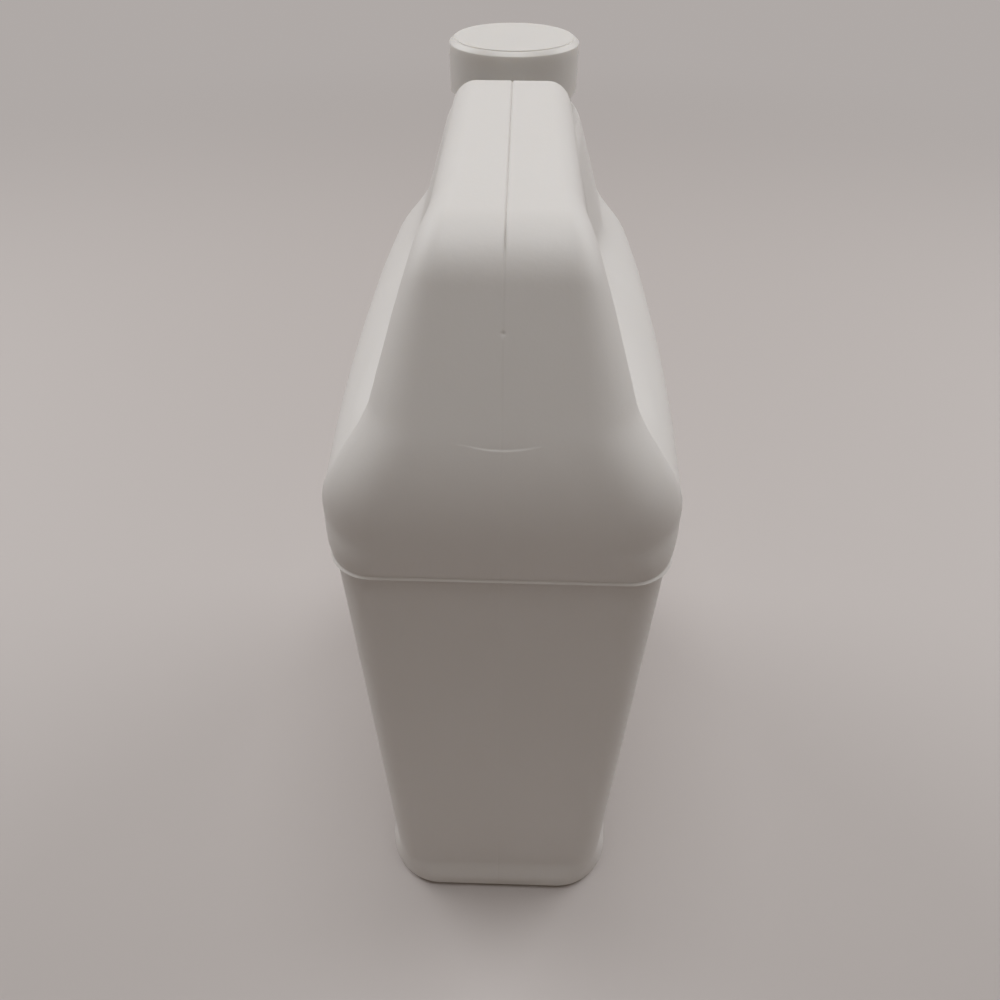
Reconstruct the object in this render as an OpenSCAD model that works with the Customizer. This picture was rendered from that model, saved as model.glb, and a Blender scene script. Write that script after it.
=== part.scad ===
// Four-litre jug of wallpaper adhesive: a slim blow-moulded bottle with a through
// handle, a screw cap on an offset neck, the cap's sealing liner and the paste inside.
// X is the width, Y the length with the handle end at -Y, and Z is up from the table.
// The bottle is drawn as its mould is cut: each half is a height over the parting
// plane X = 0, and the two halves meet along the outline and around the finger hole.

/* [Body] */
// Length over the shoulder band
body_length = 192; // [150:1:230]
// Width over the shoulder band, at the two ends
body_width = 93; // [70:1:120]
// How far each broad side bows out at mid-length
side_bow = 4.8; // [0:0.1:6]
// Radius of the four upright corners
corner_r = 11.5; // [8:1:20]
// Radius of those corners on the shoulder
shoulder_corner_r = 17; // [8:1:24]
// Radius of those corners around the base
base_corner_r = 20; // [8:1:26]
// Radius of the edge around the base
base_edge_r = 5; // [3:0.5:9]
// Width of the foot that the jug stands on, inside its edge
foot_w = 7; // [4:0.5:12]
// Depth of the hollow inside the foot
hollow_depth = 3; // [1:0.5:5]
// Height of the straight band around the base
base_band_h = 8; // [7:1:24]
// Height over which the base band draws in to the panel
base_blend_h = 12; // [6:1:24]
// Depth of the label panel at its foot
panel_low_depth = 3.2; // [0.3:0.1:4]
// Depth of the label panel under the ledge
panel_top_depth = 1.7; // [0.3:0.1:4]
// Height over which the ledge rounds out to the shoulder band
ledge_round_h = 10; // [4:1:14]
// Height of the shoulder band over the ledge, up to where it starts to draw in
shoulder_h = 14; // [10:1:24]
// Height over which the shoulder sweeps in to the handle's flank
flare_h = 25; // [20:1:36]
// Height over the ledge at which the handle's end starts to narrow
bell_lift = 16; // [10:1:24]
// Height over which the handle's end narrows, like a bell
bell_h = 30; // [24:1:42]
// Height over the ledge at which the end faces start to lean
lean_h = 14; // [8:1:24]
// Height over which their lean sets in
lean_round_h = 30; // [8:1:36]
// Wall thickness of the blown shell
wall = 1.3; // [1:0.1:2.5]

/* [Handle] */
// Height of the handle's crest over the table
crest_z = 300; // [260:1:340]
// Height of the handle's crest over the ledge
handle_h = 92; // [80:1:104]
// Distance of the crest from the neck's axis
crest_gap = 26; // [24:0.5:32]
// Fall of the handle's top towards the end, per length
bar_fall_share = 0.1; // [0:0.005:0.2]
// Width of the handle at its crest
crest_w = 32; // [28:1:44]
// Widening of each flank, per height
flank_share = 0.24; // [0.15:0.01:0.4]
// Widening of the handle's end to each side, per height
end_flank_share = 0.37; // [0.2:0.01:0.5]
// Thickness of the handle's end in front of its scooped flanks
end_t = 8; // [4:1:12]
// Length over which the scoop behind that end sets in
scoop_blend = 18; // [16:1:32]
// Lean of the handle's end face, per height
near_lean_share = 0.53; // [0.2:0.02:0.7]
// Radius of the bend between the top and the end face
bend_r = 15; // [8:1:24]
// Radius of the crest's corner
crest_r = 3.5; // [3:0.5:8]
// Radius of the handle's long edges
edge_r = 5.5; // [4:0.5:12]
// Thickness of the handle over the finger hole
bar_t = 22; // [16:1:28]
// Half the height of the finger hole
finger_r = 15; // [11:0.5:18]
// Distance of the finger hole's first round end from the handle's end
finger_in = 45; // [40:1:56]
// Distance of its other round end from the crest
finger_back = 20; // [15:1:31]
// Radius of the finger hole's edges
finger_edge_r = 9; // [4:0.5:12]

/* [Neck] */
// Distance of the neck's axis from the end of the shoulder band
neck_in = 49; // [44:0.5:52]
// Depth of the neck's seat under the handle's crest
seat_drop = 16; // [10:1:24]
// Lean of the end face under the neck, per height
far_lean_share = 0.34; // [0.1:0.02:0.5]
// Widening of each side under the neck, per height
far_flank_share = 0.32; // [0.2:0.01:0.5]
// Radius of the corner between that end face and the seat
far_r = 26; // [12:1:30]
// Radius of the neck, without its thread
neck_r = 17.6; // [15:0.1:20]
// Radius of the neck's bore
bore_r = 15.4; // [12:0.1:16]
// Height of the neck over its seat
neck_h = 17.8; // [14:0.1:22]
// Radius of the boss under the neck, at its foot
boss_r = 24.5; // [22:0.5:26]
// Height of that boss
boss_h = 11; // [6:1:14]
// Radius of the cone at the neck's root
root_r = 21; // [19:0.5:22]
// Height of the cone at the neck's root
root_h = 3; // [2:0.5:4]
// Height of the bead under the cap
bead_h = 1.8; // [1:0.1:2.5]
// How far the bead stands out of the neck
bead_out = 1.7; // [0.5:0.1:2.5]

/* [Cap] */
// Outer radius of the cap
cap_r = 20.5; // [19.8:0.1:22]
// Gap between the cap and the neck's bead
cap_gap = 1.3; // [0.6:0.1:3]
// Thickness of the cap's top
cap_top_t = 1.6; // [1:0.1:2]
// Thickness of the cap's skirt
cap_skirt_t = 1.5; // [1:0.1:1.8]
// Radius of the cap's top edge
cap_edge_r = 1.6; // [0.8:0.1:2.4]
// Depth of the panel in the cap's top
cap_panel_depth = 0.35; // [0.1:0.05:0.8]
// Width of the rim around that panel, with the edge
cap_rim_w = 2.6; // [2:0.1:4]
// Thickness of the sealing liner
liner_t = 1.2; // [0.6:0.1:1.8]
// Gap between the liner and the skirt
liner_gap = 0.4; // [0.2:0.1:0.8]
// Gap between the liner and the neck's rim, and the cap's top
seal_gap = 0.05; // [0.02:0.01:0.1]

/* [Contents] */
// Depth of the adhesive's level under the handle's crest
fill_drop = 62; // [60:1:160]
// Gap between the adhesive and the wall
fill_gap = 0.4; // [0.3:0.1:0.6]

/* [Hidden] */
// Steps around an edge and along the stretches of the outer skin
outer_steps = [5, 8, 8, 3];
// The same for the inner skin and the contents
inner_steps = [3, 5, 4, 2];
// Share of an edge's radius that an inset skin keeps at least
least_share = 0.25;
// Share that limits how far a slanted row of points is stretched
slant_share = 0.35;
// How far cuts run past a face
overrun = 1;
// Facets of the round pieces
$fn = 96;
// Facets of the corners in the base's hollow
hollow_facets = 32;
half_length = body_length / 2;
ledge_z = crest_z - handle_h;
shoulder_z = ledge_z + shoulder_h;
lean_z = ledge_z + lean_h;
bell_z = ledge_z + bell_lift;
neck_y = half_length - neck_in;
crest_y = neck_y - crest_gap;
finger_near_y = finger_in - half_length;
finger_far_y = crest_y - finger_back;
seat_z = crest_z - seat_drop;
rim_z = seat_z + neck_h;
fill_z = crest_z - fill_drop;
join_z = ledge_z + ledge_round_h + overrun;
seat_lap = 2 * max(base_corner_r, corner_r, shoulder_corner_r);
liner_z = rim_z + seal_gap;
cap_ceiling_z = liner_z + liner_t + seal_gap;
cap_top_z = cap_ceiling_z + cap_top_t + cap_panel_depth;
cap_foot_z = seat_z + root_h + bead_h + cap_gap;

function mix(a, b, s) = a + (b - a) * s;
function unit(v) = v / norm(v);
function smooth(s) = let (u = min(1, max(0, s))) u * u * (3 - 2 * u);

// How far a rounded edge has drawn back at a depth behind its face
function drawn_back(depth, r) =
    depth >= r ? 0 : r - sqrt(r * r - pow(r - max(depth, 0), 2));

// Depths that step evenly around an edge
function edge_depths(r, steps) = [for (i = [0 : steps]) r * (1 - cos(90 * i / steps))];

// A radius on a skin that lies inside the outer one
function inset_r(r, inset) = max(r - inset, r * least_share);

// How far the panel and the foot lie inside the shoulder band
function recess(z) =
    let (panel_z = base_band_h + base_blend_h)
    z < panel_z ? panel_low_depth * smooth((z - base_band_h) / base_blend_h)
    : z < ledge_z ? mix(panel_low_depth, panel_top_depth, (z - panel_z) / (ledge_z - panel_z))
    : z < ledge_z + ledge_round_h ?
        panel_top_depth * (1 - sqrt(1 - pow(1 - (z - ledge_z) / ledge_round_h, 2)))
    : 0;
function foot(z, inset) = drawn_back(z - inset, inset_r(base_edge_r, inset));

// Half the width at a place. The handle's end narrows upwards like a bell, and behind it the
// sides are scooped out around the finger hole, down to a sloping shelf
function side(y, z) = body_width / 2 + side_bow * max(0, 1 - pow(y / half_length, 2)) - recess(z);
function flared(y, z, from_z, h, slope_share) =
    mix(side(y, z), crest_w / 2 + slope_share * (crest_z - z), smooth((z - from_z) / h));
function side_share(y) = mix(flank_share, far_flank_share, smooth((y - crest_y) / crest_gap));
function half_width(y, z, inset) =
    mix(
        flared(y, z, bell_z, bell_h, end_flank_share),
        flared(y, z, shoulder_z, flare_h, side_share(y)),
        smooth((y - near_y(z, inset) - end_t) / scoop_blend)
    ) - foot(z, inset) - inset;
function rim_r(z, inset) =
    inset_r(
        z < ledge_z ? mix(base_corner_r, corner_r, smooth((z - base_band_h) / base_blend_h))
        : z < shoulder_z ? mix(corner_r, shoulder_corner_r, smooth((z - ledge_z) / (shoulder_z - ledge_z)))
        : mix(shoulder_corner_r, edge_r, smooth((z - shoulder_z) / (crest_z - shoulder_z))),
        inset
    );

// The outline of the jug from the side: two end faces, the handle's top and the neck's seat
function lean(z, slope_share) =
    let (rise = max(0, z - lean_z))
    slope_share * (rise < lean_round_h ? rise * rise / (2 * lean_round_h) : rise - lean_round_h / 2);
function lean_slope(z, slope_share) = slope_share * min(1, max(0, (z - lean_z) / lean_round_h));
function near_y(z, inset) =
    inset - half_length + recess(z) + foot(z, inset) + lean(z, near_lean_share);
function far_y(z, inset) =
    half_length - inset - recess(z) - foot(z, inset) - lean(z, far_lean_share);
function bar_z(y, inset) = crest_z - inset - bar_fall_share * (crest_y - y);

// The outline's corners, each as a point before it, the corner itself and a point after it
function outline_corners(inset) =
    let (
        straight_z = lean_z + lean_round_h,
        near_base = inset - half_length - near_lean_share * (lean_z + lean_round_h / 2),
        bend_y = (near_base + near_lean_share * bar_z(0, inset)) / (1 - near_lean_share * bar_fall_share),
        bend = [bend_y, bar_z(bend_y, inset)],
        crest = [crest_y - inset, bar_z(crest_y - inset, inset)],
        step = [crest_y - inset, seat_z - inset],
        far = [far_y(seat_z - inset, inset), seat_z - inset]
    )
    [
        [[far_y(straight_z, inset), straight_z], far, step],
        [far, step, crest],
        [step, crest, bend],
        [crest, bend, [near_y(straight_z, inset), straight_z]]
    ];

// Middle of the arc that rounds a corner off
function arc_middle(corner, r) =
    let (
        u = unit(corner[0] - corner[1]),
        v = unit(corner[2] - corner[1])
    )
    corner[1] + unit(u + v) * r / sin(acos(u * v) / 2);

// Points around a corner, from its first side to its second
function corner_arc(corner, r, steps) =
    let (
        middle = arc_middle(corner, r),
        u = unit(corner[0] - corner[1]),
        v = unit(corner[2] - corner[1]),
        from = corner[1] + u * (middle - corner[1]) * u - middle,
        to = corner[1] + v * (middle - corner[1]) * v - middle
    )
    [for (i = [0 : steps]) middle + r * unit(mix(from, to, i / steps))];

// Depth of a point behind a rounded corner, given its depth behind the two sides
function corner_depth(p, corner, r, sides) =
    let (from = p - arc_middle(corner, r))
    from * (corner[0] - corner[1]) < 0 && from * (corner[2] - corner[1]) < 0 ? r - norm(from) : min(sides);

// Depth of a point behind the nearest stretch of the outline
function outline_depth(p, inset, corners) =
    let (
        near = (p[0] - near_y(p[1], inset)) * cos(atan(lean_slope(p[1], near_lean_share))),
        bar = (bar_z(p[0], inset) - p[1]) * cos(atan(bar_fall_share)),
        bend = corner_depth(p, corners[3], inset_r(bend_r, inset), [near, bar]),
        handle = corner_depth(p, corners[2], inset_r(crest_r, inset), [bend, crest_y - inset - p[0]]),
        seat = min(seat_z - inset - p[1], p[0] - crest_y + seat_lap),
        far = (far_y(p[1], inset) - p[0]) * cos(atan(lean_slope(p[1], far_lean_share)))
    )
    max(handle, corner_depth(p, corners[0], inset_r(far_r, inset), [seat, far]));

// Points strictly between two others
function between(a, b, count) = [for (i = [1 : count]) mix(a, b, i / (count + 1))];

// One row of points along the body, close-set at its two corners
function row(z, inset, steps) =
    let (
        depths = edge_depths(rim_r(z, inset), steps[0]),
        a = near_y(z, inset) + depths[steps[0]],
        b = far_y(z, inset) - depths[steps[0]]
    )
    concat(
        [for (d = depths) [near_y(z, inset) + d, z]],
        between([a, z], [b, z], steps[1]),
        [for (i = [steps[0] : -1 : 0]) [far_y(z, inset) - depths[i], z]]
    );

// The outline over the body, from the end under the neck to the end under the handle
function top_outline(inset, steps, corners) =
    let (
        far_arc = corner_arc(corners[0], inset_r(far_r, inset), steps[0]),
        step_arc = corner_arc(corners[1], crest_r / 2 + inset, 2),
        crest_arc = corner_arc(corners[2], inset_r(crest_r, inset), steps[0]),
        bend_arc = corner_arc(corners[3], inset_r(bend_r, inset), steps[0] + 1),
        far_zs = between(join_z, far_arc[0][1], steps[2]),
        near_zs = between(bend_arc[steps[0] + 1][1], join_z, steps[2])
    )
    concat(
        [for (z = far_zs) [far_y(z, inset), z]],
        far_arc,
        between(far_arc[steps[0]], step_arc[0], steps[2] / 2),
        step_arc,
        crest_arc,
        between(crest_arc[steps[0]], bend_arc[0], steps[1]),
        bend_arc,
        [for (z = near_zs) [near_y(z, inset), z]]
    );

// The nearest point of the finger hole's middle line
function finger_z(y) = bar_z(y, 0) - bar_t - finger_r;
function finger_middle(p) =
    let (
        a = [finger_near_y, finger_z(finger_near_y)],
        b = [finger_far_y, finger_z(finger_far_y)],
        s = (p - a) * (b - a) / ((b - a) * (b - a))
    )
    mix(a, b, min(1, max(0, s)));

// A point of one mould half over its place on the parting plane
function half_point(p, inset, corners) =
    let (
        hole = norm(p - finger_middle(p)) - finger_r - inset,
        outline = outline_depth(p, inset, corners)
    )
    [
        half_width(p[0], p[1], inset)
            - drawn_back(outline, rim_r(p[1], inset))
            - drawn_back(hole, inset_r(finger_edge_r, inset)),
        p[0],
        p[1]
    ];

// A ray of points from the finger hole out to a place on the outline, which it may cross aslant
function ray(at, along, inset, steps) =
    let (
        middle = finger_middle(at),
        way = unit(at - middle),
        from = middle + way * (finger_r + inset),
        slant = norm(along) > 0 ? max(slant_share, abs(cross(way, unit(along)))) : 1,
        hole_depths = edge_depths(inset_r(finger_edge_r, inset), steps[0]),
        rim_depths = edge_depths(rim_r(at[1], inset) / slant, steps[0]),
        room_share = min(1, norm(at - from) / (hole_depths[steps[0]] + rim_depths[steps[0]] + wall))
    )
    concat(
        [for (d = hole_depths) from + way * d * room_share],
        between(
            from + way * hole_depths[steps[0]] * room_share,
            at - way * rim_depths[steps[0]] * room_share,
            steps[3]
        ),
        [for (i = [steps[0] : -1 : 0]) at - way * rim_depths[i] * room_share]
    );

// Heights of the rows under the handle, close-set where the profile turns
function row_heights(inset, steps) =
    concat(
        [for (d = edge_depths(inset_r(base_edge_r, inset), steps[0])) inset + d],
        [for (i = [0 : steps[0]]) base_band_h + base_blend_h * i / steps[0]],
        between(base_band_h + base_blend_h, ledge_z, steps[2] / 2),
        [for (d = edge_depths(ledge_round_h, steps[0])) ledge_z + d]
    );

function quad(a, b, c, d) = [[a, b, c], [a, c, d]];

// The closed skin of the bottle, or of what lies inside it by an inset
module blown_skin(inset, steps) {
    heights = row_heights(inset, steps);
    bottom = row(join_z, inset, steps);
    corners = outline_corners(inset);
    loop = concat(bottom, top_outline(inset, steps, corners));
    rows = len(heights);
    cols = len(bottom);
    stations = len(loop);
    deep = 2 * steps[0] + 2 + steps[3];
    half = concat(
        [for (z = heights) for (p = row(z, inset, steps)) half_point(p, inset, corners)],
        [
            for (i = [0 : stations - 1])
                let (
                    along = i < cols ? [0, 0] : loop[(i + 1) % stations] - loop[i - 1]
                )
                for (p = ray(loop[i], along, inset, steps)) half_point(p, inset, corners)
        ]
    );
    count = len(half);
    function over(i, k) = rows * cols + (i % stations) * deep + k;
    function low(i, j) = i < rows ? i * cols + j : over(j, deep - 1);
    shell = [
        for (i = [0 : rows - 1]) for (j = [0 : cols - 2])
            each quad(low(i, j), low(i + 1, j), low(i + 1, j + 1), low(i, j + 1)),
        for (i = [0 : stations - 1]) for (k = [0 : deep - 2])
            each quad(over(i, k), over(i + 1, k), over(i + 1, k + 1), over(i, k + 1))
    ];
    rim = concat(
        [for (j = [0 : cols - 2]) [low(0, j), low(0, j + 1)]],
        [for (i = [0 : rows - 1]) [low(i + 1, 0), low(i, 0)]],
        [for (i = [0 : rows - 1]) [low(i, cols - 1), low(i + 1, cols - 1)]],
        [for (i = [cols - 1 : stations - 1]) [over(i, deep - 1), over(i + 1, deep - 1)]],
        [for (i = [0 : stations - 1]) [over(i + 1, 0), over(i, 0)]]
    );
    polyhedron(
        concat(half, [for (p = half) [-p[0], p[1], p[2]]]),
        concat(
            shell,
            [for (f = shell) [f[0] + count, f[2] + count, f[1] + count]],
            [for (e = rim) each quad(e[0], e[1], e[1] + count, e[0] + count)]
        ),
        convexity = 10
    );
}

// The neck as a turned solid, with the boss under it, its root cone and the bead under the cap
module neck_solid() {
    root_top = seat_z + root_h;
    bead_r = neck_r + bead_out;
    translate([0, neck_y, 0])
        rotate_extrude()
            polygon([
                [0, seat_z - boss_h],
                [boss_r, seat_z - boss_h],
                [root_r, seat_z],
                [neck_r, root_top],
                [bead_r, root_top],
                [bead_r, root_top + bead_h],
                [neck_r, root_top + bead_h],
                [neck_r, rim_z],
                [0, rim_z]
            ]);
}

// The shallow hollow in the base, or the rise over it inside the bottle
module base_hollow(inset) {
    half_x = body_width / 2 - base_edge_r - foot_w + inset;
    half_y = half_length - base_edge_r - foot_w + inset;
    top_shares = [1 - hollow_depth / half_x, 1 - hollow_depth / half_y];
    translate([0, 0, -overrun])
        linear_extrude(height = hollow_depth + inset + overrun, scale = top_shares, slices = 1)
            offset(r = corner_r + inset, $fn = hollow_facets)
                square(2 * [half_x - corner_r - inset, half_y - corner_r - inset], center = true);
}

module bottle() {
    color("whitesmoke")
        difference() {
            union() {
                blown_skin(0, outer_steps);
                neck_solid();
            }
            difference() {
                blown_skin(wall, inner_steps);
                base_hollow(wall);
            }
            base_hollow(0);
            translate([0, neck_y, seat_z - 2 * boss_h])
                cylinder(r = bore_r, h = neck_h + 2 * boss_h + overrun);
        }
}

module cap() {
    bore = cap_r - cap_skirt_t;
    panel_r = cap_r - cap_rim_w;
    edge = [
        for (i = [0 : outer_steps[0]])
            [cap_r - cap_edge_r, cap_top_z - cap_edge_r]
                + cap_edge_r * [sin(90 * i / outer_steps[0]), cos(90 * i / outer_steps[0])]
    ];
    color("white")
        translate([0, neck_y, 0])
            rotate_extrude()
                polygon(concat(
                    [
                        [0, cap_top_z - cap_panel_depth],
                        [panel_r - cap_panel_depth, cap_top_z - cap_panel_depth],
                        [panel_r, cap_top_z]
                    ],
                    edge,
                    [
                        [cap_r, cap_foot_z],
                        [bore, cap_foot_z],
                        [bore, cap_ceiling_z],
                        [0, cap_ceiling_z]
                    ]
                ));
}

module cap_liner() {
    color("gainsboro")
        translate([0, neck_y, liner_z])
            cylinder(r = cap_r - cap_skirt_t - liner_gap, h = liner_t);
}

module adhesive() {
    color("ivory")
        difference() {
            blown_skin(wall + fill_gap, inner_steps);
            base_hollow(wall + fill_gap);
            translate([-body_width, -body_length, fill_z])
                cube([2 * body_width, 2 * body_length, crest_z]);
        }
}

// The pieces, each drawn alone when it is named
bottle();
cap();
cap_liner();
adhesive();
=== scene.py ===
import math

import bmesh
import bpy
import numpy as np
from mathutils import Matrix, Vector


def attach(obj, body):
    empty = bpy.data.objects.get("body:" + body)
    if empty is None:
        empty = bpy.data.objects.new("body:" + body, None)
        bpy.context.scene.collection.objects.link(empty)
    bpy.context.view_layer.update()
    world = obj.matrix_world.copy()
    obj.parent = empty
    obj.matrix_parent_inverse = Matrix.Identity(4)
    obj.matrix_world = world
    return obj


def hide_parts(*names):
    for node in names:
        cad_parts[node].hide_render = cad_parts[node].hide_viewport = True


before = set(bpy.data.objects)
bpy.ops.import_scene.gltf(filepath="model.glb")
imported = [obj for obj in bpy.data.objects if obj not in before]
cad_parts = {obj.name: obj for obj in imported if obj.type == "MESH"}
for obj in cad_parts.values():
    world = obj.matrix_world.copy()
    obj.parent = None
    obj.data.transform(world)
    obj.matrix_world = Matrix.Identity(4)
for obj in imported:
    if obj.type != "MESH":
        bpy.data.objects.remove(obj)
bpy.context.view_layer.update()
scene = bpy.context.scene

# ---- Bottle ----
# One piece of white polyethylene, blown as a warm tube between two mould halves that
# meet on the plane X = 0. Each half is a height over that plane, so the skin is worked
# out as the mould is cut, with the parting line where the halves met. Sizes are in mm.
MM = 0.001
HALF_LENGTH = 96.0
HALF_WIDTH = 46.5
SIDE_BOW = 4.74
CORNER_R = 11.5
WALL = 1.3
# The foot, the sunken panels above it, and the ledge that ends them under the shoulder
BASE_CORNER_R = 20.0
BASE_EDGE_R = 5.0
BASE_BAND_H = 8.0
BASE_BLEND_H = 12.0
PANEL_Z = BASE_BAND_H + BASE_BLEND_H
PANEL_LOW_DEPTH = 3.2
PANEL_TOP_DEPTH = 1.7
LEDGE_Z = 208.0
LEDGE_ROUND_H = 10.0
LEDGE_UNDER_DEPTH = 0.75 * PANEL_TOP_DEPTH
# Fine bead along the ledge: height from the ledge, spread and depth of each wave
LEDGE_BEAD = ((0.15, 0.45, -0.75), (-1.2, 0.5, 0.15))
# The shoulder, the flaring end of the handle, and the scooped sides behind it
SHOULDER_Z = 222.0
SHOULDER_CORNER_R = 17.0
FLARE_H = 25.0
BELL_Z = 224.0
BELL_H = 30.0
END_FLANK = 0.37
END_T = 8.0
SCOOP_BLEND = 18.0
LEAN_Z = 222.0
LEAN_ROUND_H = 30.0
NEAR_LEAN = 0.53
FAR_LEAN = 0.34
FAR_R = 26.0
# The handle's bar up to its crest, and the seat of the neck behind the crest
CREST_Z = 300.0
CREST_Y = 21.0
CREST_GAP = 26.0
CREST_HALF_W = 16.0
CREST_R = 3.5
BAR_FALL = 0.1
BAR_T = 22.0
BEND_R = 20.0
EDGE_R = 5.5
FLANK = 0.24
FAR_FLANK = 0.32
SEAT_Z = 284.0
SEAT_LAP = 40.0
# The finger hole through the handle
FINGER_R = 15.0
FINGER_NEAR_Y = -51.0
FINGER_FAR_Y = 1.0
FINGER_EDGE_R = 9.0
# Of a radius, this much is left however far the skin is set in
LEAST_R_SHARE = 0.25


def mix(a, b, s):
    return a + (b - a) * s


def smooth(s):
    u = np.clip(s, 0, 1)
    return u * u * (3 - 2 * u)


def unit(v):
    return v / np.linalg.norm(v, axis=-1, keepdims=True)


def drawn_back(depth, r):
    return r - np.sqrt(r * r - (r - np.clip(depth, 0, r)) ** 2)


def edge_depths(r, steps):
    return np.multiply.outer(r, 1 - np.cos(np.linspace(0, math.pi / 2, steps + 1)))


def inset_r(r, inset):
    return np.maximum(r - inset, r * LEAST_R_SHARE)


def recess(z, inset):
    foot = PANEL_LOW_DEPTH * smooth((z - BASE_BAND_H) / BASE_BLEND_H)
    panel = mix(PANEL_LOW_DEPTH, PANEL_TOP_DEPTH, (z - PANEL_Z) / (LEDGE_Z - PANEL_Z))
    rise = np.clip((z - LEDGE_Z) / LEDGE_ROUND_H, 0, 1)
    under = LEDGE_UNDER_DEPTH * (1 - rise) ** 2
    depth = np.where(z < PANEL_Z, foot, np.where(z < LEDGE_Z, panel, under))
    if inset == 0:
        for at, spread, wave in LEDGE_BEAD:
            depth = depth + wave * np.exp(-(((z - LEDGE_Z - at) / spread) ** 2))
    return depth + drawn_back(z - inset, inset_r(BASE_EDGE_R, inset))


# Half the width: the handle's end flares like a bell down to the shoulder, and behind it
# the sides are scooped out around the finger hole, down to a sloping shelf
def half_width(y, z, inset):
    bow = SIDE_BOW * np.maximum(0, 1 - (y / HALF_LENGTH) ** 2)
    full = HALF_WIDTH - recess(z, inset) + bow
    end_side = CREST_HALF_W + END_FLANK * (CREST_Z - z)
    bell = mix(full, end_side, smooth((z - BELL_Z) / BELL_H))
    flank = mix(FLANK, FAR_FLANK, smooth((y - CREST_Y) / CREST_GAP))
    bar_side = CREST_HALF_W + flank * (CREST_Z - z)
    scoop = mix(full, bar_side, smooth((z - SHOULDER_Z) / FLARE_H))
    behind = (y - near_y(z, inset) - END_T) / SCOOP_BLEND
    return mix(bell, scoop, smooth(behind)) - inset


def rim_r(z, inset):
    base = mix(BASE_CORNER_R, CORNER_R, smooth((z - BASE_BAND_H) / BASE_BLEND_H))
    low = mix(base, SHOULDER_CORNER_R, smooth((z - LEDGE_Z) / (SHOULDER_Z - LEDGE_Z)))
    high = mix(SHOULDER_CORNER_R, EDGE_R, smooth((z - SHOULDER_Z) / (CREST_Z - SHOULDER_Z)))
    return inset_r(np.where(z < SHOULDER_Z, low, high), inset)


def lean(z, slope):
    rise = np.maximum(0, z - LEAN_Z)
    return slope * np.where(
        rise < LEAN_ROUND_H, rise * rise / (2 * LEAN_ROUND_H), rise - LEAN_ROUND_H / 2
    )


def lean_cos(z, slope):
    return np.cos(np.arctan(slope * np.clip((z - LEAN_Z) / LEAN_ROUND_H, 0, 1)))


def near_y(z, inset):
    return inset - HALF_LENGTH + recess(z, inset) + lean(z, NEAR_LEAN)


def far_y(z, inset):
    return HALF_LENGTH - inset - recess(z, inset) - lean(z, FAR_LEAN)


def bar_z(y, inset):
    return CREST_Z - inset - BAR_FALL * (CREST_Y - y)


# The corners of the side view over the shoulder, each as the points before, at and after it
def outline_corners(inset):
    straight = LEAN_Z + LEAN_ROUND_H
    near_base = inset - HALF_LENGTH - NEAR_LEAN * (LEAN_Z + LEAN_ROUND_H / 2)
    bend_y = (near_base + NEAR_LEAN * bar_z(0, inset)) / (1 - NEAR_LEAN * BAR_FALL)
    bend = np.array([bend_y, bar_z(bend_y, inset)])
    crest = np.array([CREST_Y - inset, bar_z(CREST_Y - inset, inset)])
    step = np.array([CREST_Y - inset, SEAT_Z - inset])
    far = np.array([float(far_y(SEAT_Z - inset, inset)), SEAT_Z - inset])
    far_low = np.array([float(far_y(straight, inset)), straight])
    near_low = np.array([float(near_y(straight, inset)), straight])
    return [
        (far_low, far, step),
        (far, step, crest),
        (step, crest, bend),
        (crest, bend, near_low),
    ]


def arc_middle(corner, r):
    u = unit(corner[0] - corner[1])
    v = unit(corner[2] - corner[1])
    return corner[1] + unit(u + v) * r / math.sin(math.acos(u @ v) / 2)


def corner_arc(corner, r, steps):
    middle = arc_middle(corner, r)
    u = unit(corner[0] - corner[1])
    v = unit(corner[2] - corner[1])
    start = corner[1] + u * ((middle - corner[1]) @ u) - middle
    end = corner[1] + v * ((middle - corner[1]) @ v) - middle
    turn = math.acos(unit(start) @ unit(end))
    share = np.linspace(0, 1, steps + 1)[:, None]
    swing = start * np.sin((1 - share) * turn) + end * np.sin(share * turn)
    return middle + swing / math.sin(turn)


def corner_depth(p, corner, r, sides):
    away = p - arc_middle(corner, r)
    inside = (away @ (corner[0] - corner[1]) < 0) & (away @ (corner[2] - corner[1]) < 0)
    return np.where(inside, r - np.linalg.norm(away, axis=-1), sides)


# How deep a place lies inside the side view's outline: in the handle, or under the seat
def outline_depth(p, inset, corners):
    y, z = p[..., 0], p[..., 1]
    near = (y - near_y(z, inset)) * lean_cos(z, NEAR_LEAN)
    bar = (bar_z(y, inset) - z) * math.cos(math.atan(BAR_FALL))
    bend = corner_depth(p, corners[3], inset_r(BEND_R, inset), np.minimum(near, bar))
    crest_side = np.minimum(bend, CREST_Y - inset - y)
    handle = corner_depth(p, corners[2], inset_r(CREST_R, inset), crest_side)
    seat = np.minimum(SEAT_Z - inset - z, y - CREST_Y + SEAT_LAP)
    far = (far_y(z, inset) - y) * lean_cos(z, FAR_LEAN)
    body = corner_depth(p, corners[0], inset_r(FAR_R, inset), np.minimum(seat, far))
    return np.maximum(handle, body)


def finger_middle(p):
    a = np.array([FINGER_NEAR_Y, bar_z(FINGER_NEAR_Y, 0) - BAR_T - FINGER_R])
    b = np.array([FINGER_FAR_Y, bar_z(FINGER_FAR_Y, 0) - BAR_T - FINGER_R])
    share = np.clip((p - a) @ (b - a) / ((b - a) @ (b - a)), 0, 1)
    return a + share[..., None] * (b - a)


def half_points(p, inset, corners):
    hole = np.linalg.norm(p - finger_middle(p), axis=-1) - FINGER_R - inset
    y, z = p[..., 0], p[..., 1]
    x = (
        half_width(y, z, inset)
        - drawn_back(outline_depth(p, inset, corners), rim_r(z, inset))
        - drawn_back(hole, inset_r(FINGER_EDGE_R, inset))
    )
    return np.stack([x, y, z], -1)


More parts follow.
